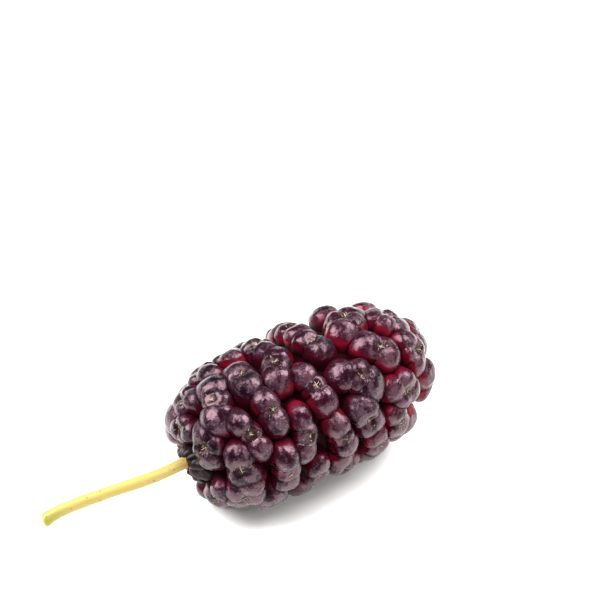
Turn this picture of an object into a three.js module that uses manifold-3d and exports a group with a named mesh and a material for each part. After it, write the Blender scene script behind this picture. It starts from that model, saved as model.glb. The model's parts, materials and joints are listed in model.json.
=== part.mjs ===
// A ripe mulberry on its stalk, picked and lying on its side.
// Millimetres, +Z up. The fruit's axis runs along X, and the stalk leaves it towards -X.
// The origin is on the surface that it lies on, under the middle of its bounding box.
import * as THREE from "three";
import { mergeVertices } from "three/addons/utils/BufferGeometryUtils.js";
import Module from "manifold-3d";

const wasm = await Module();
wasm.setup();

// Driving dimensions of the fruit, measured over the tops of its drupelets
const fruitHalfLength = 17;
const fruitRadius = 9.5;
const stalkEndBluntness = 4.6; // the stalk end is squarer than the tip
const tipBluntness = 3;
const drupeletDepth = 1.55; // from the tops down to the drupelets' middles
const coreDepth = 2.1; // from the tops down to the flesh between the drupelets
const coreRings = 7;
const coreSides = 10;
const restCut = 0.65; // how much of the lowest drupelets is pressed flat by the surface

// Lobes of a drupelet, by their number: degrees round from its long axis, offset from its middle,
// half length along the long axis, half width across it, and rise above the middle.
const lobeForms = {
  2: [
    [0, 1.2, 2, 1.92, 0.02],
    [180, 1.2, 1.9, 1.84, -0.04],
  ],
  3: [
    [0, 1.74, 1.68, 1.84, 0],
    [90, 0.12, 1.5, 1.74, -0.04],
    [180, 1.74, 1.64, 1.78, 0],
  ],
  4: [
    [0, 1.5, 1.72, 1.74, 0],
    [90, 0.8, 1.56, 1.5, -0.02],
    [180, 1.5, 1.66, 1.68, 0],
    [270, 0.8, 1.5, 1.46, -0.05],
  ],
};
const lobeHeight = 1.55; // half height of every lobe
const lobeSpread = { swing: 12, offset: 0.1, girth: 0.06, rise: 0.14 };
const sectionSides = 6; // flats over the top of a drupelet's cross-section
const sectionReach = 112; // degrees down from its top to where its root begins
const rootDepth = 2.2; // from a drupelet's middle down to the end of its root
const endShare = 0.8; // where the last full cross-section is, in half lengths of the end lobe
const facetGrowth = 1.04; // makes up what flat facets cut away from a round lobe

// Driving dimensions of the stalk
const stalkBaseRadius = 0.68;
const stalkCutRadius = 0.8;
const stalkSocketGap = 0.3;
const socketOvershoot = 3; // how far the socket's cutter runs out past the fruit
const stalkSides = 10;
const stalkSteps = 22;
const stalkPath = [
  [-13.2, 0, 0],
  [-17.5, -0.2, 0],
  [-21.5, 0.15, -0.1],
  [-27, 1.5, -0.6],
  [-31.8, 2.8, -1.5],
  [-34, 3.1, -2.3],
];

// The drupelets of the upper side: station along the axis, degrees round from the top towards -Y,
// turn of the long axis away from the way round, number of lobes, size, and width across the long axis.
const upperDrupelets = [
  [-14.4, -38, 10, 4, 0.92, 1],
  [-10.4, -46, 0, 4, 0.95, 1],
  [-6.8, -44, 20, 2, 0.8, 1],
  [-3.3, -31, -10, 4, 0.95, 1],
  [1.4, -30, 0, 2, 0.92, 1],
  [-12.7, -1, -25, 3, 1.16, 1],
  [-8.1, -5, 0, 2, 1.0, 1.08],
  [-3.9, 0, -30, 3, 1.12, 0.95],
  [1.7, -4, 10, 2, 0.94, 1],
  [7.3, -12, -46, 4, 1.08, 1.05],
  [12.7, -3, 45, 4, 1.08, 1.05],
  [-16.3, -30, 0, 4, 0.8, 1],
  [-15.9, 34, -20, 4, 1.0, 1],
  [-11.2, 43, 21, 3, 1.05, 0.8],
  [-7.6, 33, 4, 2, 1.03, 0.85],
  [-1.4, 31, 12, 3, 1.1, 0.82],
  [4.1, 40, 50, 3, 1.12, 1.08],
  [8.4, 26, 43, 2, 1.08, 1],
  [13.3, 41, 8, 4, 0.92, 1],
  [-13.6, 70, 10, 2, 1.02, 1.05],
  [-4.8, 63, -12, 3, 1.12, 0.76],
  [-0.2, 79, 15, 3, 0.96, 0.9],
  [3.4, 74, 23, 2, 1.04, 1.03],
  [9.7, 69, 62, 4, 1.06, 1],
  [-7.9, 87, -9, 3, 1.06, 0.9],
  [-13.2, 103, -18, 4, 1.06, 1],
  [8.2, 97, 10, 2, 0.94, 1],
  [-3.7, 106, 0, 2, 0.86, 1],
  [0.4, 117, 20, 4, 0.96, 1],
  [5, 108, 0, 2, 0.84, 1],
  [-9.3, 126, 15, 4, 1.04, 1],
  [-15.4, 126, 0, 2, 0.92, 1],
];

// The drupelets of the underside and the far side: rows along the fruit, each half a step on from the
// last, with places at the tip and in the gaps that the rows leave, as station and degrees round.
const lowerRows = [306, 271, 236, 201, 166, 131];
const rowPitch = 5.2;
const rowStart = -13.6;
const crowding = 0.78; // a place closer than this share of a pitch to a drupelet stays empty
const tipDrupelets = [
  [16.4, 10],
  [16.2, 190],
  [15.4, 100],
  [15.4, 280],
];
const fillerDrupelets = [
  [-3.9, 295],
  [-4.5, 140],
  [-15, 275],
];
const rowSpread = { station: 0.4, around: 4, turn: 25, size: 0.08 };
const rowEndMargin = 0.8;
const lobeCountSpan = 1.9; // draws two lobes a little oftener than three
const rowSeed = 12;
const firstSeed = 40;

// The mulberry32 generator: the same draws on every run.
function seededRandom(seed) {
  let state = seed;
  return () => {
    state = (state + 0x6d2b79f5) | 0;
    let t = Math.imul(state ^ (state >>> 15), 1 | state);
    t = (t + Math.imul(t ^ (t >>> 7), 61 | t)) ^ t;
    return ((t ^ (t >>> 14)) >>> 0) / 4294967296;
  };
}

// Radius over the drupelets at a station, and its slope along the axis.
function envelope(station) {
  const bluntness = station < 0 ? stalkEndBluntness : tipBluntness;
  const share = Math.abs(station) / fruitHalfLength;
  const radius = fruitRadius * Math.sqrt(1 - share ** bluntness);
  const rate = (fruitRadius ** 2 * bluntness * share ** (bluntness - 1)) / (2 * fruitHalfLength * radius);
  return { radius, slope: -Math.sign(station) * rate };
}

// Where a drupelet sits: the outward direction, the way round, the axis direction across it, and its top.
function seatOf({ station, around }) {
  const angle = THREE.MathUtils.degToRad(around);
  const { radius, slope } = envelope(station);
  const radial = new THREE.Vector3(0, -Math.sin(angle), Math.cos(angle));
  const round = new THREE.Vector3(0, -Math.cos(angle), -Math.sin(angle));
  const outward = radial.clone().addScaledVector(new THREE.Vector3(1, 0, 0), -slope).normalize();
  const lengthwise = new THREE.Vector3().crossVectors(outward, round);
  const top = radial.multiplyScalar(radius).setX(station);
  return { outward, round, lengthwise, top };
}

// All drupelets: the upper ones, the tip's, rows over the rest wherever there is room, and the fillers.
function placeDrupelets() {
  const random = seededRandom(rowSeed);
  const spread = (amount) => (2 * random() - 1) * amount;
  const placed = [];
  const add = ([station, around, turn, lobeCount, size, width], clearance) => {
    const seed = firstSeed + placed.length;
    const drupelet = { station, around, turn, lobeCount, size, width, seed };
    drupelet.top = seatOf(drupelet).top;
    if (placed.every(({ top }) => top.distanceTo(drupelet.top) > clearance)) {
      placed.push(drupelet);
    }
  };
  const addIfRoom = (station, around) => {
    const turn = spread(rowSpread.turn);
    const lobeCount = 2 + Math.floor(lobeCountSpan * random());
    add([station, around, turn, lobeCount, 1 + spread(rowSpread.size), 1], crowding * rowPitch);
  };
  upperDrupelets.forEach((row) => add(row, 0));
  tipDrupelets.forEach(([station, around]) => addIfRoom(station, around));
  lowerRows.forEach((around, row) => {
    const first = rowStart + (row % 2) * (rowPitch / 2);
    for (let station = first; station < fruitHalfLength - rowEndMargin; station += rowPitch) {
      addIfRoom(station + spread(rowSpread.station), around + spread(rowSpread.around));
    }
  });
  fillerDrupelets.forEach(([station, around]) => addIfRoom(station, around));
  return placed;
}

// A drupelet's lobes as ellipsoids in its own axes: long, cross and outward.
function lobesOf({ lobeCount, size, width, seed }) {
  const random = seededRandom(seed);
  const spread = (amount) => (2 * random() - 1) * amount;
  return lobeForms[lobeCount].map(([degrees, offset, halfLength, halfWidth, rise]) => {
    const angle = THREE.MathUtils.degToRad(degrees + spread(lobeSpread.swing));
    const away = size * offset * (1 + spread(lobeSpread.offset));
    const girth = size * (1 + spread(lobeSpread.girth));
    const height = size * (rise + spread(lobeSpread.rise));
    const centre = new THREE.Vector3(away * Math.cos(angle), away * Math.sin(angle) * width, height);
    const halves = new THREE.Vector3(halfLength, halfWidth * width, lobeHeight).multiplyScalar(girth);
    return { centre, halves };
  });
}

// A closed surface of rings from rows of points between a first and a last point.
function ringedGeometry(first, rings, last) {
  const sides = rings[0].length;
  const points = [first, ...rings.flat(), last];
  const at = (ring, side) => 1 + ring * sides + (side % sides);
  const faces = [];
  for (let side = 0; side < sides; side += 1) {
    faces.push(0, at(0, side), at(0, side + 1));
    for (let ring = 0; ring + 1 < rings.length; ring += 1) {
      faces.push(at(ring, side), at(ring + 1, side), at(ring + 1, side + 1));
      faces.push(at(ring, side), at(ring + 1, side + 1), at(ring, side + 1));
    }
    faces.push(at(rings.length - 1, side + 1), at(rings.length - 1, side), points.length - 1);
  }
  return new THREE.BufferGeometry().setFromPoints(points).setIndex(faces);
}

// How far the lobes reach from the long axis at a station along it, at an angle from straight up.
function lobeReach(lobes, station, angle) {
  const across = Math.sin(angle);
  const up = Math.cos(angle);
  const reaches = lobes.map(({ centre, halves }) => {
    const taper = 1 - ((station - centre.x) / halves.x) ** 2;
    if (taper <= 0) return 0;
    const width = halves.y * Math.sqrt(taper);
    const height = halves.z * Math.sqrt(taper);
    const square = (across / width) ** 2 + (up / height) ** 2;
    const half = (across * centre.y) / width ** 2 + (up * centre.z) / height ** 2;
    const rest = (centre.y / width) ** 2 + (centre.z / height) ** 2 - 1;
    return (half + Math.sqrt(Math.max(half ** 2 - square * rest, 0))) / square;
  });
  return Math.max(...reaches);
}

// A drupelet's cross-sections stand at its lobes' middles and in the creases between them.
function drupeletGeometry(drupelet) {
  const { outward, round, lengthwise, top } = seatOf(drupelet);
  const turn = THREE.MathUtils.degToRad(drupelet.turn);
  const long = round.clone().multiplyScalar(Math.cos(turn)).addScaledVector(lengthwise, Math.sin(turn));
  const cross = new THREE.Vector3().crossVectors(outward, long);
  const middle = top.clone().addScaledVector(outward, -drupeletDepth * drupelet.size);

  const lobes = lobesOf(drupelet).sort((a, b) => a.centre.x - b.centre.x);
  const [first, last] = [lobes[0], lobes.at(-1)];
  const inner = lobes.slice(1, -1).map(({ centre }) => centre.x);
  const middles = [first.centre.x, last.centre.x];
  if (inner.length > 0) {
    middles.splice(1, 0, inner.reduce((sum, x) => sum + x) / inner.length);
  }
  const creases = middles.slice(1).map((x, index) => (x + middles[index]) / 2);
  const stations = [...middles, ...creases].sort((a, b) => a - b);
  stations.unshift(first.centre.x - endShare * first.halves.x);
  stations.push(last.centre.x + endShare * last.halves.x);

  const rings = stations.map((station) => {
    const ring = Array.from({ length: sectionSides + 1 }, (_, side) => {
      const angle = THREE.MathUtils.degToRad(sectionReach * ((2 * side) / sectionSides - 1));
      const reach = facetGrowth * lobeReach(lobes, station, angle);
      return new THREE.Vector3(station, reach * Math.sin(angle), reach * Math.cos(angle));
    });
    return [...ring, new THREE.Vector3(station, 0, -rootDepth)];
  });
  const tip = ({ centre, halves }, side) => centre.clone().setX(centre.x + side * halves.x);
  return ringedGeometry(tip(first, -1), rings, tip(last, 1)).applyMatrix4(
    new THREE.Matrix4().makeBasis(long, cross, outward).setPosition(middle),
  );
}

// The flesh between the drupelets, turned about the fruit's axis.
function coreGeometry() {
  const shrink = (fruitHalfLength - coreDepth) / fruitHalfLength;
  const profile = Array.from({ length: coreRings + 1 }, (_, ring) => {
    const station = -fruitHalfLength * Math.cos((Math.PI * ring) / coreRings);
    const isPole = ring % coreRings === 0;
    const radius = isPole ? 0 : (envelope(station).radius * (fruitRadius - coreDepth)) / fruitRadius;
    return new THREE.Vector2(radius, station * shrink);
  });
  return new THREE.LatheGeometry(profile, coreSides).rotateZ(-Math.PI / 2);
}

function stalkGeometry() {
  const curve = new THREE.CatmullRomCurve3(stalkPath.map((point) => new THREE.Vector3(...point)));
  const up = new THREE.Vector3(0, 0, 1);
  const ringAt = (share) => {
    const centre = curve.getPointAt(share);
    const ahead = curve.getTangentAt(share);
    const across = new THREE.Vector3().crossVectors(up, ahead).normalize();
    const over = new THREE.Vector3().crossVectors(ahead, across);
    const radius = THREE.MathUtils.lerp(stalkBaseRadius, stalkCutRadius, share);
    return Array.from({ length: stalkSides }, (_, side) => {
      const angle = (-2 * Math.PI * side) / stalkSides;
      return centre
        .clone()
        .addScaledVector(across, radius * Math.cos(angle))
        .addScaledVector(over, radius * Math.sin(angle));
    });
  };
  const rings = Array.from({ length: stalkSteps + 1 }, (_, step) => ringAt(step / stalkSteps));
  return ringedGeometry(curve.getPointAt(0), rings, curve.getPointAt(1));
}

function solidFrom(geometry) {
  const bare = geometry.index ? geometry.toNonIndexed() : geometry.clone();
  bare.deleteAttribute("normal");
  bare.deleteAttribute("uv");
  const merged = mergeVertices(bare, 1e-4);
  const vertProperties = new Float32Array(merged.attributes.position.array);
  const triVerts = new Uint32Array(merged.index.array);
  return new wasm.Manifold(new wasm.Mesh({ numProp: 3, vertProperties, triVerts }));
}

// The solid without loose scraps, and with the hollows filled that fusing has sealed.
function largestBody(solid) {
  const [largest] = solid.decompose().sort((a, b) => b.volume() - a.volume());
  return largest;
}

function geometryFrom(solid) {
  const { vertProperties, triVerts } = solid.getMesh();
  const geometry = new THREE.BufferGeometry();
  geometry.setAttribute("position", new THREE.BufferAttribute(vertProperties, 3));
  geometry.setIndex(new THREE.BufferAttribute(triVerts, 1));
  geometry.computeVertexNormals();
  return geometry;
}

// Drupelets grown together on the core, with the hole that the stalk stands in and the pressed underside
function fruitSolid() {
  let fruit = solidFrom(coreGeometry());
  for (const drupelet of placeDrupelets()) {
    fruit = fruit.add(solidFrom(drupeletGeometry(drupelet)));
  }
  const [socketEnd] = stalkPath[0];
  const socketLength = fruitHalfLength + socketEnd + socketOvershoot;
  const socket = new THREE.CylinderGeometry(
    stalkBaseRadius + stalkSocketGap,
    stalkBaseRadius + stalkSocketGap,
    socketLength,
    stalkSides,
  );
  socket.rotateZ(Math.PI / 2).translate(socketEnd + stalkSocketGap - socketLength / 2, 0, 0);
  fruit = fruit.subtract(solidFrom(socket));
  fruit = largestBody(fruit);
  const lowest = fruit.boundingBox().min[2];
  const under = new THREE.BoxGeometry(4 * fruitHalfLength, 4 * fruitRadius, 2 * restCut);
  under.translate(0, 0, lowest);
  return largestBody(fruit.subtract(solidFrom(under)));
}

const fruit = new THREE.Mesh(
  geometryFrom(fruitSolid()),
  new THREE.MeshStandardMaterial({ color: 0x3a0f1e, roughness: 0.32, metalness: 0 }),
);
fruit.name = "fruit";

const stalk = new THREE.Mesh(
  stalkGeometry(),
  new THREE.MeshStandardMaterial({ color: 0xe8d977, roughness: 0.55, metalness: 0 }),
);
stalk.name = "stalk";

const mulberry = new THREE.Group();
mulberry.add(fruit, stalk);

// Stand the group on the surface, with the middle of its box over the origin.
const box = new THREE.Box3().setFromObject(mulberry, true);
const middle = box.getCenter(new THREE.Vector3());
mulberry.position.set(-middle.x, -middle.y, -box.min.z);

export default mulberry;
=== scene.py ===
# A ripe mulberry on its cut stalk, lying on its side on a pale floor.
# The dictionaries hold millimetres and degrees unless a note says otherwise, and the scene is in metres.
import json
import math

import bmesh
import bpy
import numpy as np
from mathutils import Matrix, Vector, bvhtree, noise

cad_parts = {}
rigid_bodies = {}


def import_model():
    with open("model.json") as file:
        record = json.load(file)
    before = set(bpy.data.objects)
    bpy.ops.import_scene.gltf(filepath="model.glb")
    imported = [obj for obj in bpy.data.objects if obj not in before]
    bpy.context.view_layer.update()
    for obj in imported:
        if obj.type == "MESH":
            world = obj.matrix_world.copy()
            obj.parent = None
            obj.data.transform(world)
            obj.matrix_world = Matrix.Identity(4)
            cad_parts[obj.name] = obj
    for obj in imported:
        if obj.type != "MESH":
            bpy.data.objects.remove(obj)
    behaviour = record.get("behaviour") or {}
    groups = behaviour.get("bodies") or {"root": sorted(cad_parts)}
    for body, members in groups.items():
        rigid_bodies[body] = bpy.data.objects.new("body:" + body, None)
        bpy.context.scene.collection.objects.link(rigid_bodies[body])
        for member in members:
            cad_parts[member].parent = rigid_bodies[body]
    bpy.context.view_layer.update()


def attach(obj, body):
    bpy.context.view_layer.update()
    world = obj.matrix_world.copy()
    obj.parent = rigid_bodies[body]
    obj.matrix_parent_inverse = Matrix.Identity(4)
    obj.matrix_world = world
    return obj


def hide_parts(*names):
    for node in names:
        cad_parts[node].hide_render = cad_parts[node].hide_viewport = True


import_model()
mm = 0.001
print("frame loaded")


# The same draws on every run, and the same as the part's own
def seededRandom(seed):
    state = seed

    def draw():
        nonlocal state
        mask = 0xFFFFFFFF
        state = (state + 0x6D2B79F5) & mask
        t = ((state ^ (state >> 15)) * (1 | state)) & mask
        t = ((t + (((t ^ (t >> 7)) * (61 | t)) & mask)) & mask) ^ t
        return ((t ^ (t >> 14)) & mask) / 4294967296

    return draw


def spreadFrom(draw, amount):
    return (2 * draw() - 1) * amount


def unit(vector):
    return vector / np.linalg.norm(vector)


def linearColour(hexCode):
    channels = [int(hexCode[i:i + 2], 16) / 255 for i in (1, 3, 5)]
    return [c / 12.92 if c <= 0.04045 else ((c + 0.055) / 1.055) ** 2.4 for c in channels] + [1.0]


def addNode(tree, kind, settings=None, values=None, links=None):
    node = tree.nodes.new(kind)
    for name, value in (settings or {}).items():
        setattr(node, name, value)
    for socket, value in (values or {}).items():
        node.inputs[socket].default_value = value
    for socket, source in (links or {}).items():
        tree.links.new(source, node.inputs[socket])
    return node


def newMaterial(name):
    material = bpy.data.materials.new(name)
    material.use_nodes = True
    material.node_tree.nodes.clear()
    return material, material.node_tree


# The sockets of a Mix node share their names, so they go by number
mixCover = 0
numberUnder = 2
numberOver = 3
colourUnder = 6
colourOver = 7
colourMixed = 2


def newPiece(name, vertices, faces, material):
    mesh = bpy.data.meshes.new(name)
    mesh.from_pydata([tuple(v) for v in vertices], [], faces)
    mesh.update()
    piece = bpy.data.objects.new(name, mesh)
    bpy.context.scene.collection.objects.link(piece)
    if material:
        mesh.materials.append(material)
    return piece


def storeValues(mesh, name, values):
    layer = mesh.attributes.new(name, "FLOAT", "POINT")
    layer.data.foreach_set("value", np.asarray(values, dtype=np.float32))


# A closed tube through rings, each given by its middle and its half width and half height as vectors
def sweep(rings, sides):
    points, faces = [], []
    for middle, halfWidth, halfHeight in rings:
        for side in range(sides):
            angle = 2 * math.pi * side / sides
            points.append(middle + halfWidth * math.cos(angle) + halfHeight * math.sin(angle))
    for ring in range(len(rings) - 1):
        for side in range(sides):
            low, after = ring * sides, (side + 1) % sides
            faces.append((low + side, low + after, low + sides + after, low + sides + side))
    last = (len(rings) - 1) * sides
    faces.append(tuple(range(sides - 1, -1, -1)))
    faces.append(tuple(range(last, last + sides)))
    return points, faces


def framePoints(points):
    return (np.array(points) + np.array(fruit["middleInFrame"])) * mm


# Where the drupelets sit, as on the part
fruit = {
    "halfLength": 17,
    "radius": 9.5,
    "stalkEndBluntness": 4.6,
    "tipBluntness": 3,
    "drupeletDepth": 1.55,
    "coreDepth": 2.1,
    "lobeHeight": 1.55,
    "lobeSwing": 12,
    "lobeOffset": 0.1,
    "lobeGirth": 0.06,
    "lobeRise": 0.14,
    "lowerRows": [306, 271, 236, 201, 166, 131],
    "rowPitch": 5.2,
    "rowStart": -13.6,
    "rowEndMargin": 0.8,
    "crowding": 0.78,
    "fewestLobes": 2,
    "lobeCountSpan": 1.9,
    "rowSpread": {"station": 0.4, "around": 4, "turn": 25, "size": 0.08},
    "tipDrupelets": [(16.4, 10), (16.2, 190), (15.4, 100), (15.4, 280)],
    "fillerDrupelets": [(-3.9, 295), (-4.5, 140), (-15, 275)],
    "rowSeed": 12,
    "firstSeed": 40,
    "middleInFrame": (8.684, 0.047, 8.983),  # its lowest drupelets are pressed flat by 0.65
}

# Degrees round from the long axis, offset, half length, half width, rise above the middle
lobeForms = {
    2: [(0, 1.2, 2.0, 1.92, 0.02), (180, 1.2, 1.9, 1.84, -0.04)],
    3: [(0, 1.74, 1.68, 1.84, 0), (90, 0.12, 1.5, 1.74, -0.04), (180, 1.74, 1.64, 1.78, 0)],
    4: [(0, 1.5, 1.72, 1.74, 0), (90, 0.8, 1.56, 1.5, -0.02),
        (180, 1.5, 1.66, 1.68, 0), (270, 0.8, 1.5, 1.46, -0.05)],
}

# Station along the axis, degrees round from the top towards -Y, turn, number of lobes, size, width
upperDrupelets = [
    (-14.4, -38, 10, 4, 0.92, 1), (-10.4, -46, 0, 4, 0.95, 1), (-6.8, -44, 20, 2, 0.8, 1),
    (-3.3, -31, -10, 4, 0.95, 1), (1.4, -30, 0, 2, 0.92, 1), (-12.7, -1, -25, 3, 1.16, 1),
    (-8.1, -5, 0, 2, 1.0, 1.08), (-3.9, 0, -30, 3, 1.12, 0.95), (1.7, -4, 10, 2, 0.94, 1),
    (7.3, -12, -46, 4, 1.08, 1.05), (12.7, -3, 45, 4, 1.08, 1.05), (-16.3, -30, 0, 4, 0.8, 1),
    (-15.9, 34, -20, 4, 1.0, 1), (-11.2, 43, 21, 3, 1.05, 0.8), (-7.6, 33, 4, 2, 1.03, 0.85),
    (-1.4, 31, 12, 3, 1.1, 0.82), (4.1, 40, 50, 3, 1.12, 1.08), (8.4, 26, 43, 2, 1.08, 1),
    (13.3, 41, 8, 4, 0.92, 1), (-13.6, 70, 10, 2, 1.02, 1.05), (-4.8, 63, -12, 3, 1.12, 0.76),
    (-0.2, 79, 15, 3, 0.96, 0.9), (3.4, 74, 23, 2, 1.04, 1.03), (9.7, 69, 62, 4, 1.06, 1),
    (-7.9, 87, -9, 3, 1.06, 0.9), (-13.2, 103, -18, 4, 1.06, 1), (8.2, 97, 10, 2, 0.94, 1),
    (-3.7, 106, 0, 2, 0.86, 1), (0.4, 117, 20, 4, 0.96, 1), (5, 108, 0, 2, 0.84, 1),
    (-9.3, 126, 15, 4, 1.04, 1), (-15.4, 126, 0, 2, 0.92, 1),
]


def envelope(station):
    bluntness = fruit["stalkEndBluntness"] if station < 0 else fruit["tipBluntness"]
    share = abs(station) / fruit["halfLength"]
    radius = fruit["radius"] * math.sqrt(1 - share ** bluntness)
    rate = fruit["radius"] ** 2 * bluntness * share ** (bluntness - 1) / (2 * fruit["halfLength"] * radius)
    return radius, -math.copysign(rate, station)


def seatOf(station, around, turn, size):
    angle = math.radians(around)
    radius, slope = envelope(station)
    radial = np.array([0, -math.sin(angle), math.cos(angle)])
    wayRound = np.array([0, -math.cos(angle), -math.sin(angle)])
    outward = unit(radial - np.array([slope, 0, 0]))
    lengthwise = np.cross(outward, wayRound)
    longAxis = wayRound * math.cos(math.radians(turn)) + lengthwise * math.sin(math.radians(turn))
    top = radial * radius + np.array([station, 0, 0])
    return {
        "top": top,
        "middle": top - outward * fruit["drupeletDepth"] * size,
        "axes": np.array([longAxis, np.cross(outward, longAxis), outward]),
    }


def placeDrupelets():
    draw = seededRandom(fruit["rowSeed"])
    spread = fruit["rowSpread"]
    placed = []

    def add(row, clearance):
        station, around, turn, lobeCount, size, width = row
        drupelet = seatOf(station, around, turn, size)
        drupelet.update(station=station, lobeCount=lobeCount, size=size, width=width)
        drupelet["seed"] = fruit["firstSeed"] + len(placed)
        if all(np.linalg.norm(other["top"] - drupelet["top"]) > clearance for other in placed):
            placed.append(drupelet)

    def addIfRoom(station, around):
        turn = spreadFrom(draw, spread["turn"])
        lobeCount = fruit["fewestLobes"] + math.floor(fruit["lobeCountSpan"] * draw())
        row = (station, around, turn, lobeCount, 1 + spreadFrom(draw, spread["size"]), 1)
        add(row, fruit["crowding"] * fruit["rowPitch"])

    for row in upperDrupelets:
        add(row, 0)
    for station, around in fruit["tipDrupelets"]:
        addIfRoom(station, around)
    for number, around in enumerate(fruit["lowerRows"]):
        station = fruit["rowStart"] + (number % 2) * fruit["rowPitch"] / 2
        while station < fruit["halfLength"] - fruit["rowEndMargin"]:
            moved = station + spreadFrom(draw, spread["station"])
            addIfRoom(moved, around + spreadFrom(draw, spread["around"]))
            station += fruit["rowPitch"]
    for station, around in fruit["fillerDrupelets"]:
        addIfRoom(station, around)
    return placed


# The flesh: every lobe a slightly uneven ball, and all of them grown together on the core
flesh = {
    "ballSplits": 4,  # 1280 faces to a lobe
    "coreRings": 40,
    "coreSides": 72,
    "closeness": 0.95,  # draws a drupelet's lobes together and lengthens them by as much
    "fullness": 2.2,  # 2 is a plain ball, more fills the lobes out against each other
    "bigDent": 0.08,  # share of a lobe's size
    "bigDentWaves": 1.3,
    "smallDent": 0.032,
    "smallDentWaves": 2.4,
    "dentShift": (7.3, 3.1, 1.7),  # moves the dents on from lobe to lobe
    "pitDepth": 0.36,
    "pitRadius": 0.7,
    "rootFlare": 0.16,  # how much wider a lobe gets from its middle down to its root
    "coreSink": 0.35,  # how much deeper the valleys are than on the plain part
    "creaseAngle": 36,  # edges sharper than this stay crisp
}


def lobesOf(drupelet):
    draw = seededRandom(drupelet["seed"])
    size, width = drupelet["size"], drupelet["width"]
    lobes = []
    for degrees, offset, halfLength, halfWidth, rise in lobeForms[drupelet["lobeCount"]]:
        angle = math.radians(degrees + spreadFrom(draw, fruit["lobeSwing"]))
        away = size * offset * flesh["closeness"] * (1 + spreadFrom(draw, fruit["lobeOffset"]))
        girth = size * (1 + spreadFrom(draw, fruit["lobeGirth"]))
        height = size * (rise + spreadFrom(draw, fruit["lobeRise"]))
        longer = offset * (1 - flesh["closeness"]) * abs(math.cos(math.radians(degrees)))
        wider = offset * (1 - flesh["closeness"]) * abs(math.sin(math.radians(degrees)))
        halves = [halfLength + longer, (halfWidth + wider) * width, fruit["lobeHeight"]]
        lobes.append({
            "centre": np.array([away * math.cos(angle), away * math.sin(angle) * width, height]),
            "halves": np.array(halves) * girth,
        })
    return lobes


drupelets = placeDrupelets()
for drupelet in drupelets:
    drupelet["lobes"] = lobesOf(drupelet)
print("drupelets placed:", len(drupelets))


# How far out a point is, as a share of the lobe's skin. The lobe's root below its middle flares.
def reachOf(points):
    whole, sideways, low = lobeSpans(points)
    return np.where(low > 0, np.maximum(sideways / (1 + flesh["rootFlare"] * low), low), whole)


def lobeSpans(points):
    power = flesh["fullness"]
    whole = (np.abs(points) ** power).sum(axis=1) ** (1 / power)
    sideways = (np.abs(points[:, :2]) ** power).sum(axis=1) ** (1 / power)
    return whole, sideways, np.maximum(-points[:, 2], 0)


def ballPoints():
    ball = bmesh.new()
    bmesh.ops.create_icosphere(ball, subdivisions=flesh["ballSplits"], radius=1)
    points = np.array([v.co[:] for v in ball.verts])
    faces = [[v.index for v in face.verts] for face in ball.faces]
    ball.free()
    whole, sideways, low = lobeSpans(points)
    shrink = np.where(low > 0, np.maximum(sideways - flesh["rootFlare"] * low, low), whole)
    return points / shrink[:, None], faces


def dentsOver(points, number):
    shift = Vector([step * number for step in flesh["dentShift"]])
    dents = []
    for point in points:
        place = Vector(point)
        big = noise.noise(place * flesh["bigDentWaves"] + shift)
        small = noise.noise(place * flesh["smallDentWaves"] + shift)
        dents.append(1 + flesh["bigDent"] * big + flesh["smallDent"] * small)
    return np.array(dents)[:, None]


def lobePoints(drupelet, lobe, points, number):
    local = lobe["centre"] + points * lobe["halves"] * dentsOver(points, number)
    away = np.hypot(local[:, 0], local[:, 1]) / flesh["pitRadius"]
    local[:, 2] -= flesh["pitDepth"] * np.exp(-away ** 2) * (local[:, 2] > 0)
    local[:, 2] -= local[:, 0] ** 2 / (2 * fruit["radius"])  # bends with the fruit
    return drupelet["middle"] + local @ drupelet["axes"]


def corePoints():
    depth = fruit["coreDepth"] + flesh["coreSink"]
    shrink = (fruit["halfLength"] - depth) / fruit["halfLength"]
    thin = (fruit["radius"] - depth) / fruit["radius"]
    rings, sides = flesh["coreRings"], flesh["coreSides"]
    points = [(-fruit["halfLength"] * shrink, 0, 0)]
    for ring in range(1, rings):
        station = -fruit["halfLength"] * math.cos(math.pi * ring / rings)
        radius = envelope(station)[0] * thin
        for side in range(sides):
            angle = 2 * math.pi * side / sides
            points.append((station * shrink, radius * math.cos(angle), radius * math.sin(angle)))
    points.append((fruit["halfLength"] * shrink, 0, 0))
    last = len(points) - 1
    faces = []
    for side in range(sides):
        after = (side + 1) % sides
        faces.append((0, 1 + after, 1 + side))
        faces.append((last, last - sides + side, last - sides + after))
        for ring in range(rings - 2):
            low, high = 1 + ring * sides, 1 + (ring + 1) * sides
            faces.append((low + side, low + after, high + after, high + side))
    return np.array(points), faces


def growTogether():
    points, faces = corePoints()
    body = newPiece("mulberryFruit", points, faces, None)
    lobeSet = bpy.data.collections.new("lobes")
    bpy.context.scene.collection.children.link(lobeSet)
    ball, ballFaces = ballPoints()
    number = 0
    for drupelet in drupelets:
        for lobe in drupelet["lobes"]:
            piece = newPiece(f"lobe{number}", lobePoints(drupelet, lobe, ball, number), ballFaces, None)
            bpy.context.scene.collection.objects.unlink(piece)
            lobeSet.objects.link(piece)
            number += 1
    union = body.modifiers.new("grow together", "BOOLEAN")
    union.operation = "UNION"
    union.operand_type = "COLLECTION"
    union.collection = lobeSet
    union.solver = "MANIFOLD"
    grown = bpy.data.meshes.new_from_object(body.evaluated_get(bpy.context.evaluated_depsgraph_get()))
    body.modifiers.clear()
    body.data = grown
    for piece in list(lobeSet.objects):
        bpy.data.meshes.remove(piece.data)
    bpy.data.collections.remove(lobeSet)
    return body


def pointsOf(mesh):
    points = np.empty(len(mesh.vertices) * 3)
    mesh.vertices.foreach_get("co", points)
    return points.reshape(-1, 3)


def unbentIn(drupelet, points):
    local = (points - drupelet["middle"]) @ drupelet["axes"].T
    local[:, 2] += local[:, 0] ** 2 / (2 * fruit["radius"])
    return local


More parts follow.
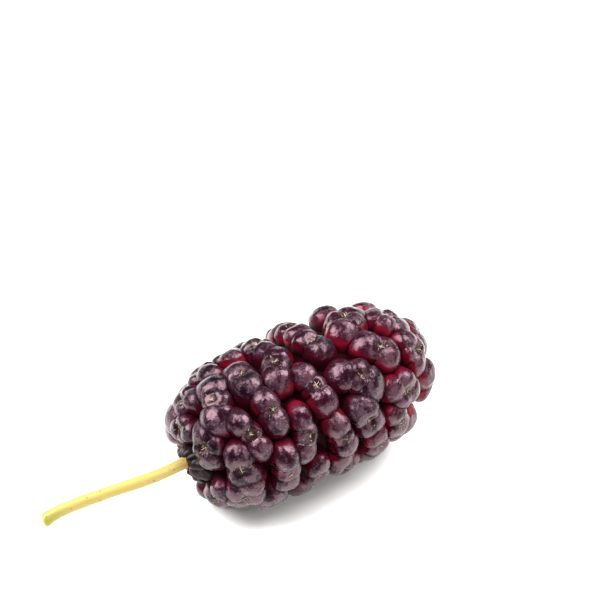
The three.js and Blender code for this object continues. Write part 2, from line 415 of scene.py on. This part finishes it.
# How far the drupelets reach, what stands where none does, and the steps in tone from one to the next
skinMeasures = {
    "search": 5.5,  # how far from its middle a drupelet looks for its points
    "unreached": 9.0,
    "skinEdge": 1.12,  # points further out than this share of every drupelet are on the core
    "coreLift": -0.6,
    "coreAway": 3.0,
    "lobeTone": 0.37,
    "drupeletTone": 0.61803,
}


# What the skin's colour and gloss depend on, for every point of the flesh
def measureSkin(mesh):
    points = pointsOf(mesh)
    count = len(points)
    near = np.full((2, count), skinMeasures["unreached"])  # of the nearest two drupelets, 1 on their skin
    owner = np.zeros(count, dtype=int)
    seam = np.full(count, 1.0)
    lift = np.full(count, skinMeasures["coreLift"])
    away = np.full(count, skinMeasures["coreAway"])
    tone = np.zeros(count)
    for number, drupelet in enumerate(drupelets):
        close = np.linalg.norm(points - drupelet["middle"], axis=1) < skinMeasures["search"]
        local = unbentIn(drupelet, points[close])
        reach = np.array([reachOf((local - lobe["centre"]) / lobe["halves"]) for lobe in drupelet["lobes"]])
        order = np.sort(reach, axis=0)
        best = order[0]
        index = np.flatnonzero(close)
        first = best < near[0, index]
        second = ~first & (best < near[1, index])
        near[1, index[first]] = near[0, index[first]]
        near[0, index[first]] = best[first]
        near[1, index[second]] = best[second]
        mine = index[first]
        owner[mine] = number
        seam[mine] = (order[1] - order[0])[first]
        lift[mine] = local[first, 2] / (fruit["lobeHeight"] * drupelet["size"])
        away[mine] = np.hypot(local[first, 0], local[first, 1])
        lobeTone = np.argmin(reach, axis=0)[first] * skinMeasures["lobeTone"]
        tone[mine] = lobeTone + number * skinMeasures["drupeletTone"]
    core = near[0] > skinMeasures["skinEdge"]
    lift[core] = skinMeasures["coreLift"]
    seam[core] = 1.0
    storeValues(mesh, "lift", lift)
    storeValues(mesh, "seam", np.clip(seam, 0, 1))
    storeValues(mesh, "neighbour", np.clip(near[1] - 1, 0, 1))
    storeValues(mesh, "away", away)
    storeValues(mesh, "tone", tone % 1)
    storeValues(mesh, "ripeness", np.array([d["ripeness"] for d in drupelets])[owner])


# Moves the flesh to its place in the frame and presses its lowest points flat on the floor
def settleInFrame(piece):
    points = pointsOf(piece.data) + np.array(fruit["middleInFrame"])
    points[:, 2] = np.maximum(points[:, 2], 0)
    piece.data.vertices.foreach_set("co", (points * mm).ravel())
    piece.data.update()


# Riper drupelets are nearly black, and the ones over the tip end keep more crimson
ripeness = {"seed": 5, "spread": 0.24, "atStalk": 0.95, "atTip": 0.28}
draw = seededRandom(ripeness["seed"])
for drupelet in drupelets:
    share = (drupelet["station"] + fruit["halfLength"]) / (2 * fruit["halfLength"])
    mean = ripeness["atStalk"] + (ripeness["atTip"] - ripeness["atStalk"]) * share
    drupelet["ripeness"] = min(max(mean + spreadFrom(draw, ripeness["spread"]), 0), 1)

fruitBody = growTogether()
measureSkin(fruitBody.data)
fleshPoints = [Vector(point) for point in pointsOf(fruitBody.data)]
fleshFaces = [face.vertices[:] for face in fruitBody.data.polygons]
fleshTree = bvhtree.BVHTree.FromPolygons(fleshPoints, fleshFaces)
settleInFrame(fruitBody)
fruitBody.data.shade_smooth()
fruitBody.data.set_sharp_from_angle(angle=math.radians(flesh["creaseAngle"]))
print("flesh grown together:", len(fruitBody.data.polygons), "faces")


# Skin: thin fruit skin over dark juice, wrinkled where it has begun to dry. It gives near-black tops with
# a broad uneven sheen, dark crimson flanks, rough valleys darkened with painted shade, and dusty speckled
# patches on the tops. Painted shade also dims the reflection on the flanks, on the lower sides and in the
# valleys, and a painted shadow lies in the creases between lobes.
drupeletSkin = {
    "ripeTop": "#10060d",
    "halfRipe": "#2a0615",
    "flank": "#380415",
    "brightFlank": "#70071e",
    # Painted shade: the dark colour of the valleys and of where drupelets touch
    "valley": "#180206",
    "mist": "#31202a",
    "speck": "#7a6570",
    "pit": "#1d100c",
    # Painted shadow: the thin dark line in the creases between a drupelet's lobes
    "crack": "#10040a",
    "seamEdge": "#8a6a72",
    "roughness": 0.22,
    "mistRoughness": 0.36,
    "valleyRoughness": 0.8,
    "ior": 1.56,
    "glossTint": "#ffccdc",
    "dullTint": "#381825",
    # Painted shade on the reflection: the flanks reflect less than the tops, and pinker
    "sideTint": "#a05874",
    # Painted shade on the reflection: the valleys and the lower sides reflect almost nothing
    "valleyTint": "#1a0008",
    "scatter": 0.08,
    "scatterRadius": (1.6, 0.28, 0.3),
    "wrinkleHeight": 0.18,
    "wrinkleStrength": 0.7,
    "grainHeight": 0.03,
    "grainStrength": 0.3,
    # Sizes in millimetres of the uneven patches, and how many finer layers each has
    "clouds": {"blotch": (2.2, 3), "sheenPatch": (1.5, 4), "mistPatch": (1.4, 6), "wrinkle": (0.6, 4),
               "grain": (0.2, 2)},
    # Blotches shift the change from top to flank, and lobes differ a little in ripeness
    "shifts": {"height": ("lift", "blotch", 0.7), "ripe": ("ripeness", "tone", 0.4)},
    # Each share of a layer: what it reads, where it starts, where it is full, and how much it covers
    "ramps": {
        "sheen": ("sheenPatch", 0.4, 0.52, 1.0),
        "top": ("height", -0.1, 0.75, 1.0),
        # Painted shade: these two say how far the painted valley shade reaches, by depth and by closeness to
        # the next drupelet
        "aboveValley": ("height", -0.45, 0.35, 1.0),
        "clearOfNext": ("neighbour", 0.0, 0.16, 1.0),
        "onTop": ("lift", 0.15, 0.6, 1.0),
        # Painted shade on the reflection: how far up the sides it reaches
        "overSide": ("lift", -0.4, 0.4, 1.0),
        "misty": ("mistPatch", 0.45, 0.62, 1.0),
        "grainy": ("grain", 0.35, 0.6, 1.0),
        "specks": ("grain", 0.6, 0.75, 0.8),
        "inPit": ("away", 1.0, 0.3, 0.9),
        # Painted shadow along the creases between lobes
        "creaseShadeLine": ("seam", 0.14, 0.02, 0.75),
        "edgeLine": ("seam", 0.05, 0.0, 0.8),
        "edgeBreaks": ("wrinkle", 0.47, 0.58, 1.0),
        "darkFlank": ("ripe", 0.3, 0.9, 1.0),
    },
    # Shares that hold only where two others do
    "products": {
        # Clear of the painted valley shade; the same share also makes the valleys rough
        "open": ("aboveValley", "clearOfNext"),
        # Where the reflection keeps its tint; below it, painted shade dims it
        "glossy": ("overSide", "open"),
        "mistHere": ("misty", "onTop"),
        "mistCover": ("mistHere", "grainy"),
        "speckCover": ("mistHere", "specks"),
        "pitCover": ("inPit", "onTop"),
        "brokenEdge": ("edgeLine", "edgeBreaks"),
        "edgeCover": ("brokenEdge", "onTop"),
        "wrinkleHere": ("wrinkle", "onTop"),
    },
    # Each layer of colour: the share that shows, and what is under and over it
    "layers": {
        "flankTone": ("darkFlank", "brightFlank", "flank"),
        # Painted shade: the valley colour under the flanks
        "low": ("open", "valley", "flankTone"),
        "topTone": ("ripe", "halfRipe", "ripeTop"),
        "skin": ("top", "low", "topTone"),
        "misted": ("mistCover", "skin", "mist"),
        "specked": ("speckCover", "misted", "speck"),
        "pitted": ("pitCover", "specked", "pit"),
        # Painted shadow laid in the creases between lobes
        "creaseShaded": ("creaseShadeLine", "pitted", "crack"),
        "edged": ("edgeCover", "creaseShaded", "seamEdge"),
        "sheenTone": ("sheen", "dullTint", "glossTint"),
        # Painted shade on the reflection: dimmer on the flanks, dimmest on the lower sides and in the
        # valleys
        "openGloss": ("top", "sideTint", "sheenTone"),
        "gloss": ("glossy", "valleyTint", "openGloss"),
    },
}


def makeDrupeletSkin():
    look = drupeletSkin
    material, tree = newMaterial("drupeletSkin")
    place = addNode(tree, "ShaderNodeNewGeometry").outputs["Position"]
    share = {}
    for name in ("lift", "seam", "away", "neighbour", "tone", "ripeness"):
        share[name] = addNode(tree, "ShaderNodeAttribute", {"attribute_name": name}).outputs["Fac"]
    for name, (size, detail) in look["clouds"].items():
        share[name] = addNode(tree, "ShaderNodeTexNoise", None, {"Scale": 1 / (size * mm), "Detail": detail},
                              {"Vector": place}).outputs["Fac"]
    for name, (base, shift, amount) in look["shifts"].items():
        moved = addNode(tree, "ShaderNodeMath", {"operation": "MULTIPLY_ADD"}, {1: amount, 2: -amount / 2},
                        {0: share[shift]})
        share[name] = addNode(tree, "ShaderNodeMath", {"operation": "ADD"}, None,
                              {0: share[base], 1: moved.outputs[0]}).outputs[0]
    for name, (source, start, full, most) in look["ramps"].items():
        share[name] = addNode(tree, "ShaderNodeMapRange", {"interpolation_type": "SMOOTHSTEP"},
                              {"From Min": start, "From Max": full, "To Max": most},
                              {"Value": share[source]}).outputs["Result"]
    for name, (first, second) in look["products"].items():
        share[name] = addNode(tree, "ShaderNodeMath", {"operation": "MULTIPLY"}, None,
                              {0: share[first], 1: share[second]}).outputs[0]

    colour = {}
    for name, (cover, under, over) in look["layers"].items():
        parts = {colourUnder: under, colourOver: over}
        values = {socket: linearColour(look[part]) for socket, part in parts.items() if part in look}
        links = {socket: colour[part] for socket, part in parts.items() if part in colour}
        links[mixCover] = share[cover]
        mixed = addNode(tree, "ShaderNodeMix", {"data_type": "RGBA"}, values, links)
        colour[name] = mixed.outputs[colourMixed]

    dusty = addNode(tree, "ShaderNodeMapRange", None,
                    {"To Min": look["roughness"], "To Max": look["mistRoughness"]},
                    {"Value": share["mistHere"]})
    roughness = addNode(tree, "ShaderNodeMix", None, {numberUnder: look["valleyRoughness"]},
                        {mixCover: share["open"], numberOver: dusty.outputs["Result"]})
    wrinkled = addNode(tree, "ShaderNodeBump", None,
                       {"Strength": look["wrinkleStrength"], "Distance": look["wrinkleHeight"] * mm},
                       {"Height": share["wrinkleHere"]})
    grained = addNode(tree, "ShaderNodeBump", None,
                      {"Strength": look["grainStrength"], "Distance": look["grainHeight"] * mm},
                      {"Height": share["grain"], "Normal": wrinkled.outputs["Normal"]})
    # The specular tint carries the painted shade on the reflection
    shader = addNode(tree, "ShaderNodeBsdfPrincipled", None,
                     {"IOR": look["ior"], "Subsurface Weight": look["scatter"],
                      "Subsurface Radius": look["scatterRadius"], "Subsurface Scale": mm},
                     {"Base Color": colour["edged"], "Roughness": roughness.outputs[0],
                      "Specular Tint": colour["gloss"], "Normal": grained.outputs["Normal"]})
    addNode(tree, "ShaderNodeOutputMaterial", None, None, {"Surface": shader.outputs[0]})
    return material


fruitBody.data.materials.clear()
fruitBody.data.materials.append(makeDrupeletSkin())
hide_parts("fruit")
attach(fruitBody, "root")
print("drupelet skin made")


# The stalk: a swept green stem, a little uneven, thicker towards its far end, where it is cut across
stalk = {
    "path": [(-13.2, 0, 0), (-17.5, -0.2, 0), (-21.5, 0.15, -0.1), (-27, 1.5, -0.6), (-31.8, 2.8, -1.5),
             (-34, 3.1, -2.3)],
    "baseRadius": 0.68,
    "cutRadius": 0.79,
    "rings": 150,
    "sides": 40,
    "uneven": 0.07,
    "unevenLength": 2.4,
    "aimStep": 0.01,  # share of the length over which its direction is taken
    "slant": 0.35,  # how far the cut leans, as a share of the radius
    "slantOver": 0.5,  # how much of that it also leans from top to bottom
    "slantRings": 6,
    "cutFace": [(0.95, -0.03), (0.86, -0.02), (0.7, 0.04), (0.35, 0.05)],  # size and depth of each ring
    "creaseAngle": 50,
}


# A smooth curve through the path's points, drawn out past both ends by one more point
def alongPath(share):
    path = [np.array(p, dtype=float) for p in stalk["path"]]
    path = [2 * path[0] - path[1]] + path + [2 * path[-1] - path[-2]]
    spans = len(path) - 3
    span = min(int(share * spans), spans - 1)
    t = share * spans - span
    a, b, c, d = path[span:span + 4]
    straight = 2 * b + (c - a) * t
    bend = (2 * a - 5 * b + 4 * c - d) * t ** 2
    swing = (3 * b - a - 3 * c + d) * t ** 3
    return 0.5 * (straight + bend + swing)


def stalkRings():
    step = stalk["aimStep"]
    rings = []
    for number in range(stalk["rings"] + 1):
        share = number / stalk["rings"]
        ahead = unit(alongPath(min(share + step, 1)) - alongPath(max(share - step, 0)))
        across = unit(np.cross([0, 0, 1], ahead))
        over = np.cross(ahead, across)
        radius = stalk["baseRadius"] + (stalk["cutRadius"] - stalk["baseRadius"]) * share
        toEnd = max(0, 1 - (1 - share) * stalk["rings"] / stalk["slantRings"])
        lean = ahead * toEnd * stalk["slant"]
        rings.append((alongPath(share) - ahead * stalk["slant"] * radius * toEnd,
                      (across + lean) * radius, (over + lean * stalk["slantOver"]) * radius))
    end, halfWidth, halfHeight = rings[-1]
    ahead = unit(np.cross(halfWidth, halfHeight))
    for size, depth in stalk["cutFace"]:
        rings.append((end - ahead * depth, halfWidth * size, halfHeight * size))
    return rings


def makeStalk(material):
    rings = stalkRings()
    points, faces = sweep(rings, stalk["sides"])
    along, cut = [], []
    for number, (middle, halfWidth, halfHeight) in enumerate(rings):
        for side in range(stalk["sides"]):
            index = number * stalk["sides"] + side
            outward = points[index] - middle
            place = Vector(middle / stalk["unevenLength"] + unit(outward))
            points[index] = points[index] + outward * stalk["uneven"] * noise.noise(place)
            along.append(min(number / stalk["rings"], 1))
            cut.append(max(number - stalk["rings"], 0) / len(stalk["cutFace"]))
    piece = newPiece("mulberryStalk", framePoints(points), faces, material)
    storeValues(piece.data, "along", along)
    storeValues(piece.data, "cut", cut)
    piece.data.shade_smooth()
    piece.data.set_sharp_from_angle(angle=math.radians(stalk["creaseAngle"]))
    return piece


# Stalk skin: a living green stem, smooth and paled to yellow, cut across. It gives a satin gloss with a
# fine uneven grain, a few brown specks, and a brown cut face where it has dried.
stalkSkin = {
    "atFruit": "#9e824d",
    "middle": "#9a8a46",
    "atCut": "#7f7f27",
    "cutFace": "#6a5222",
    "speck": "#6d4a22",
    "roughness": 0.42,
    "ior": 1.45,
    "leavesFruit": (0.12, 0.3),  # shares of the length over which one colour turns into the next
    "nearsCut": (0.7, 1.0),
    "cutEdge": 0.25,
    "speckSpacing": 0.9,
    "speckEdge": (0.2, 0.1),  # shares of the spacing where a speck begins and where it is full
    "speckCover": 0.8,
    "grain": 0.22,
    "grainLayers": 3,
    "grainStrength": 0.3,
    "grainHeight": 0.04,
    "scatter": 0.6,
    "scatterRadius": (1.1, 0.9, 0.4),
}


def makeStalkSkin():
    look = stalkSkin
    material, tree = newMaterial("stalkSkin")
    place = addNode(tree, "ShaderNodeNewGeometry").outputs["Position"]
    along = addNode(tree, "ShaderNodeAttribute", {"attribute_name": "along"}).outputs["Fac"]
    specks = addNode(tree, "ShaderNodeTexVoronoi", None, {"Scale": 1 / (look["speckSpacing"] * mm)},
                     {"Vector": place})
    cut = addNode(tree, "ShaderNodeAttribute", {"attribute_name": "cut"}).outputs["Fac"]

    # Each colour in turn, over the ones before it: its name, what it follows, where it starts and is full,
    # the kind of change between the two, and how much it covers
    coats = [
        ("middle", along, look["leavesFruit"], "SMOOTHSTEP", 1.0),
        ("atCut", along, look["nearsCut"], "SMOOTHSTEP", 1.0),
        ("speck", specks.outputs["Distance"], look["speckEdge"], "LINEAR", look["speckCover"]),
        ("cutFace", cut, (0, look["cutEdge"]), "LINEAR", 1.0),
    ]
    values = {colourUnder: linearColour(look["atFruit"])}
    links = {}
    for name, source, (start, full), change, most in coats:
        share = addNode(tree, "ShaderNodeMapRange", {"interpolation_type": change},
                        {"From Min": start, "From Max": full, "To Max": most}, {"Value": source})
        values[colourOver] = linearColour(look[name])
        links[mixCover] = share.outputs["Result"]
        coated = addNode(tree, "ShaderNodeMix", {"data_type": "RGBA"}, values, links)
        values = {}
        links = {colourUnder: coated.outputs[colourMixed]}

    grain = addNode(tree, "ShaderNodeTexNoise", None,
                    {"Scale": 1 / (look["grain"] * mm), "Detail": look["grainLayers"]}, {"Vector": place})
    bump = addNode(tree, "ShaderNodeBump", None,
                   {"Strength": look["grainStrength"], "Distance": look["grainHeight"] * mm},
                   {"Height": grain.outputs["Fac"]})
    shader = addNode(tree, "ShaderNodeBsdfPrincipled", None,
                     {"IOR": look["ior"], "Roughness": look["roughness"],
                      "Subsurface Weight": look["scatter"], "Subsurface Radius": look["scatterRadius"],
                      "Subsurface Scale": mm},
                     {"Base Color": coated.outputs[colourMixed], "Normal": bump.outputs["Normal"]})
    addNode(tree, "ShaderNodeOutputMaterial", None, None, {"Surface": shader.outputs[0]})
    return material


stalkPiece = makeStalk(makeStalkSkin())
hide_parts("stalk")
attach(stalkPiece, "root")
print("stalk made")


# Small dried parts of the flowers: stars of threads and crumbs in the pits, and bracts round the stalk
driedParts = {
    "seed": 9,
    # "away" is how far from the middle of the pit they start at most
    "thread": {"count": (3, 6), "length": (0.2, 0.6), "radius": 0.05, "away": 0},
    "crumb": {"count": (3, 8), "length": (0.08, 0.22), "radius": 0.04, "away": 0.9},
    "rings": 6,
    "sides": 5,
    "swing": 0.4,  # radians off an even place round the pit
    "curl": 0.6,  # radians that a thread turns along its length
    "taper": 0.6,
    "lift": (0.03, 0.13),  # how high a thread arches over the skin
    "arch": 0.8,  # share of a whole arch, so that the tip stays off the skin
    "sink": 0.02,
    "probeHeight": 3,  # how far out the search for the flesh starts
    "probeReach": 7,
    "lowest": 0.15,  # above the floor
}

# Degrees round from +Y towards +Z, length and half width. The big ones hang below the stalk.
bracts = {
    "places": [(172, 2.2, 0.8), (203, 3.0, 0.85), (240, 3.1, 0.95), (280, 2.0, 0.8), (325, 1.5, 0.75),
               (25, 1.4, 0.7), (80, 1.2, 0.7), (128, 1.4, 0.7)],
    "thickness": 0.3,
    "start": 0.35,
    "rings": 18,
    "sides": 18,
    "faceStation": -17,
    "collarStation": -16.5,  # how far out the bracts stand round the stalk
    "lean": 0.3,  # how fast they come down from there
    "bridge": 3,  # rings either side that a bract rests on
    "probes": (-0.6, 0, 0.6),  # where across its width a bract looks for the flesh
    "rootSwell": 0.1,  # where on a half wave of width a bract starts and ends
    "tipSwell": 0.97,
    "swellPower": 0.6,
    "uneven": 0.4,
    "unevenLength": 0.8,
}


def surfaceUnder(tree, point, outward):
    look = driedParts
    start = Vector(point + outward * look["probeHeight"])
    hit, _, _, distance = tree.ray_cast(start, Vector(-outward))
    return np.array(hit) if hit and distance < look["probeReach"] else None


def joinMeshes(parts):
    points, faces, tones = [], [], []
    for partPoints, partFaces, tone in parts:
        start = len(points)
        points.extend(partPoints)
        faces.extend([tuple(start + index for index in face) for face in partFaces])
        tones.extend([tone] * len(partPoints))
    return points, faces, tones


# A thread that lies on the flesh from a start and lifts off it a little along its length
def layThread(tree, drupelet, start, heading, turn, length, radius, lifted):
    look = driedParts
    lengthwise, sideways, outward = drupelet["axes"]
    rings = []
    for ring in range(look["rings"]):
        share = ring / (look["rings"] - 1)
        angle = heading + turn * share
        flat = lengthwise * math.cos(angle) + sideways * math.sin(angle)
        hit = surfaceUnder(tree, start + flat * length * share, outward)
        if hit is None:
            return None
        thickness = radius * (1 - look["taper"] * share)
        across = unit(np.cross(flat, outward))
        middle = hit + outward * (lifted * math.sin(math.pi * share * look["arch"]) - look["sink"])
        if middle[2] + fruit["middleInFrame"][2] < look["lowest"]:
            return None
        rings.append((middle, across * thickness, outward * thickness))
    return sweep(rings, look["sides"])


def makeThreads(tree, draw):
    look = driedParts
    lowLift, highLift = look["lift"]
    parts = []
    for drupelet in drupelets:
        lengthwise, sideways = drupelet["axes"][:2]
        for kind in (look["thread"], look["crumb"]):
            fewest, most = kind["count"]
            shortest, longest = kind["length"]
            count = fewest + math.floor((most - fewest + 1) * draw())
            first = 2 * math.pi * draw()
            for number in range(count):
                heading = first + 2 * math.pi * number / count + spreadFrom(draw, look["swing"])
                turn = spreadFrom(draw, look["curl"])
                length = shortest + (longest - shortest) * draw()
                lifted = lowLift + (highLift - lowLift) * draw()
                tone = draw()
                away = kind["away"] * draw()
                flat = lengthwise * math.cos(heading) + sideways * math.sin(heading)
                start = drupelet["top"] + flat * away
                made = layThread(tree, drupelet, start, heading, turn, length, kind["radius"], lifted)
                if made:
                    parts.append(made + (tone,))
    return joinMeshes(parts)


# The furthest of the neighbouring values, smoothed
def evenOut(values, furthest):
    bridge = bracts["bridge"]
    spans = [slice(max(0, k - bridge), k + bridge + 1) for k in range(len(values))]
    reached = [furthest(values[span]) for span in spans]
    return [np.mean(reached[span]) for span in spans]


# Each bract is a leaf that stands out from the stalk, thick enough to reach down to the flesh under it
def makeBracts(tree, draw):
    look = bracts
    parts = []
    away = np.array([-1.0, 0, 0])
    last = look["rings"] - 1
    for degrees, length, width in look["places"]:
        angle = math.radians(degrees)
        radial = np.array([0, math.cos(angle), math.sin(angle)])
        across = np.array([0, -math.sin(angle), math.cos(angle)])
        faces, roots = [], []
        for ring in range(look["rings"]):
            reach = look["start"] + length * ring / last
            base = radial * reach - away * look["faceStation"]
            hits = [surfaceUnder(tree, base + across * width * side, away) for side in look["probes"]]
            stations = [hit[0] for hit in hits if hit is not None]
            collar = look["collarStation"] + look["lean"] * length * ring / last
            faces.append(min(stations + [collar]))
            roots.append(max(stations + [collar]))
        faces, roots = evenOut(faces, min), evenOut(roots, max)
        rings = []
        for ring in range(look["rings"]):
            share = ring / last
            onWave = look["rootSwell"] + (look["tipSwell"] - look["rootSwell"]) * share
            swell = math.sin(math.pi * onWave) ** look["swellPower"]
            middle = radial * (look["start"] + length * share)
            middle[0] = (faces[ring] + roots[ring]) / 2
            thickness = look["thickness"] + (roots[ring] - faces[ring]) / 2
            rings.append((middle, across * width * swell, away * thickness * swell))
        points, quads = sweep(rings, look["sides"])
        for index, point in enumerate(points):
            outward = point - rings[index // look["sides"]][0]
            bulge = noise.noise(Vector(point / look["unevenLength"]))
            points[index] = point + outward * look["uneven"] * bulge
        parts.append((points, quads, draw()))
    return joinMeshes(parts)


# Dried stigma: papery, withered flower thread. It looks dull, and each has its own buff or brown.
driedStigma = {"pale": "#bcaa98", "dark": "#3c241a", "roughness": 0.6, "specular": 0.25}

# Dried bract: a small withered leaf. It looks leathery and nearly black, with a low gloss.
driedBract = {"pale": "#2a1d20", "dark": "#0d0809", "roughness": 0.26, "specular": 0.16}

# What both dried skins share
driedSurface = {
    "ior": 1.45,
    "patch": 0.5,
    "patchLayers": 3,
    "fromDark": 0.05,
    "toPale": 0.5,
    "bumpStrength": 0.5,
    "bumpHeight": 0.05,
}


def makeDriedSkin(name, look):
    surface = driedSurface
    material, tree = newMaterial(name)
    place = addNode(tree, "ShaderNodeNewGeometry").outputs["Position"]
    tone = addNode(tree, "ShaderNodeAttribute", {"attribute_name": "tone"}).outputs["Fac"]
    patch = addNode(tree, "ShaderNodeTexNoise", None,
                    {"Scale": 1 / (surface["patch"] * mm), "Detail": surface["patchLayers"]},
                    {"Vector": place})
    share = addNode(tree, "ShaderNodeMath", {"operation": "MULTIPLY"}, None,
                    {0: tone, 1: patch.outputs["Fac"]})
    shade = addNode(tree, "ShaderNodeMapRange", None,
                    {"From Min": surface["fromDark"], "From Max": surface["toPale"]},
                    {"Value": share.outputs[0]})
    colour = addNode(tree, "ShaderNodeMix", {"data_type": "RGBA"},
                     {colourUnder: linearColour(look["dark"]), colourOver: linearColour(look["pale"])},
                     {mixCover: shade.outputs["Result"]})
    bump = addNode(tree, "ShaderNodeBump", None,
                   {"Strength": surface["bumpStrength"], "Distance": surface["bumpHeight"] * mm},
                   {"Height": patch.outputs["Fac"]})
    shader = addNode(tree, "ShaderNodeBsdfPrincipled", None,
                     {"IOR": surface["ior"], "Roughness": look["roughness"],
                      "Specular IOR Level": look["specular"]},
                     {"Base Color": colour.outputs[colourMixed], "Normal": bump.outputs["Normal"]})
    addNode(tree, "ShaderNodeOutputMaterial", None, None, {"Surface": shader.outputs[0]})
    return material


def addDriedPart(name, made, material):
    points, faces, tones = made
    piece = newPiece(name, framePoints(points), faces, material)
    storeValues(piece.data, "tone", tones)
    piece.data.shade_smooth()
    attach(piece, "root")


draw = seededRandom(driedParts["seed"])
addDriedPart("stigmaRemains", makeThreads(fleshTree, draw), makeDriedSkin("driedStigma", driedStigma))
addDriedPart("stalkBracts", makeBracts(fleshTree, draw), makeDriedSkin("driedBract", driedBract))
print("dried parts made")


# Camera: a long lens looking down on the fruit from in front of its stalk end
camera = {
    "azimuth": -34.6,
    "elevation": 45,
    "lens": 362,
    "sensor": 36,
    "distance": 700,
    "clip": (10, 10000),
    "imageSide": 600,  # pixels, for the two values below
    "millimetresToPixel": 0.116,
    "fruitPixel": (303, 402.6),
}


def makeCamera():
    azimuth, elevation = math.radians(camera["azimuth"]), math.radians(camera["elevation"])
    back = np.array([math.sin(azimuth) * math.cos(elevation), -math.cos(azimuth) * math.cos(elevation),
                     math.sin(elevation)])
    right = np.array([math.cos(azimuth), math.sin(azimuth), 0])
    up = np.cross(back, right)
    column, row = camera["fruitPixel"]
    middle = camera["imageSide"] / 2
    aim = np.array(fruit["middleInFrame"])
    aim = aim - right * (column - middle) * camera["millimetresToPixel"]
    aim = aim + up * (row - middle) * camera["millimetresToPixel"]
    data = bpy.data.cameras.new("camera")
    data.lens = camera["lens"]
    data.sensor_width = camera["sensor"]
    data.clip_start, data.clip_end = [reach * mm for reach in camera["clip"]]
    piece = bpy.data.objects.new("camera", data)
    piece.location = Vector((aim + back * camera["distance"]) * mm)
    piece.rotation_euler = Vector(-back).to_track_quat("-Z", "Y").to_euler()
    bpy.context.scene.collection.objects.link(piece)
    bpy.context.scene.camera = piece
    return back, right, up


toCamera, toRight, toTop = makeCamera()


# A floor of matt painted board, which looks pale and plain, and soft studio light. "from" says how far to
# the right, up the picture and towards the camera each box of light stands.
studio = {
    "floor": "#f4f3f2",
    "floorRoughness": 0.9,
    "floorSide": 4000,
    "floorDrop": 0.03,
    "skyStrength": 0.12,
    "leftBox": {"from": (-0.75, 0.75, 0.75), "away": 350, "side": 310, "watts": 4.0},
    "rightBox": {"from": (0.65, 0.85, 0.4), "away": 350, "side": 260, "watts": 3.0},
    "fillBox": {"from": (0.7, -0.1, 0.8), "away": 400, "side": 360, "watts": 0.9},
}


def makeStudio():
    material, tree = newMaterial("paleFloor")
    shader = addNode(tree, "ShaderNodeBsdfPrincipled", None,
                     {"Base Color": linearColour(studio["floor"]), "Roughness": studio["floorRoughness"]})
    addNode(tree, "ShaderNodeOutputMaterial", None, None, {"Surface": shader.outputs[0]})
    half = studio["floorSide"] / 2 * mm
    drop = -studio["floorDrop"] * mm
    corners = [(-half, -half, drop), (half, -half, drop), (half, half, drop), (-half, half, drop)]
    floor = newPiece("floor", corners, [(0, 1, 2, 3)], material)

    world = bpy.data.worlds.new("softRoom")
    world.use_nodes = True
    world.node_tree.nodes["Background"].inputs["Color"].default_value = (1, 1, 1, 1)
    world.node_tree.nodes["Background"].inputs["Strength"].default_value = studio["skyStrength"]
    bpy.context.scene.world = world

    aim = Vector([value * mm for value in fruit["middleInFrame"]])
    for name in ("leftBox", "rightBox", "fillBox"):
        setup = studio[name]
        side, over, out = setup["from"]
        direction = Vector(unit(toRight * side + toTop * over + toCamera * out))
        light = bpy.data.lights.new(name, "AREA")
        light.size = setup["side"] * mm
        light.energy = setup["watts"]
        lamp = bpy.data.objects.new(name, light)
        lamp.location = aim + direction * setup["away"] * mm
        lamp.rotation_euler = direction.to_track_quat("Z", "Y").to_euler()
        bpy.context.scene.collection.objects.link(lamp)


makeStudio()
bpy.context.scene.view_settings.view_transform = "Standard"
print("camera and studio made")
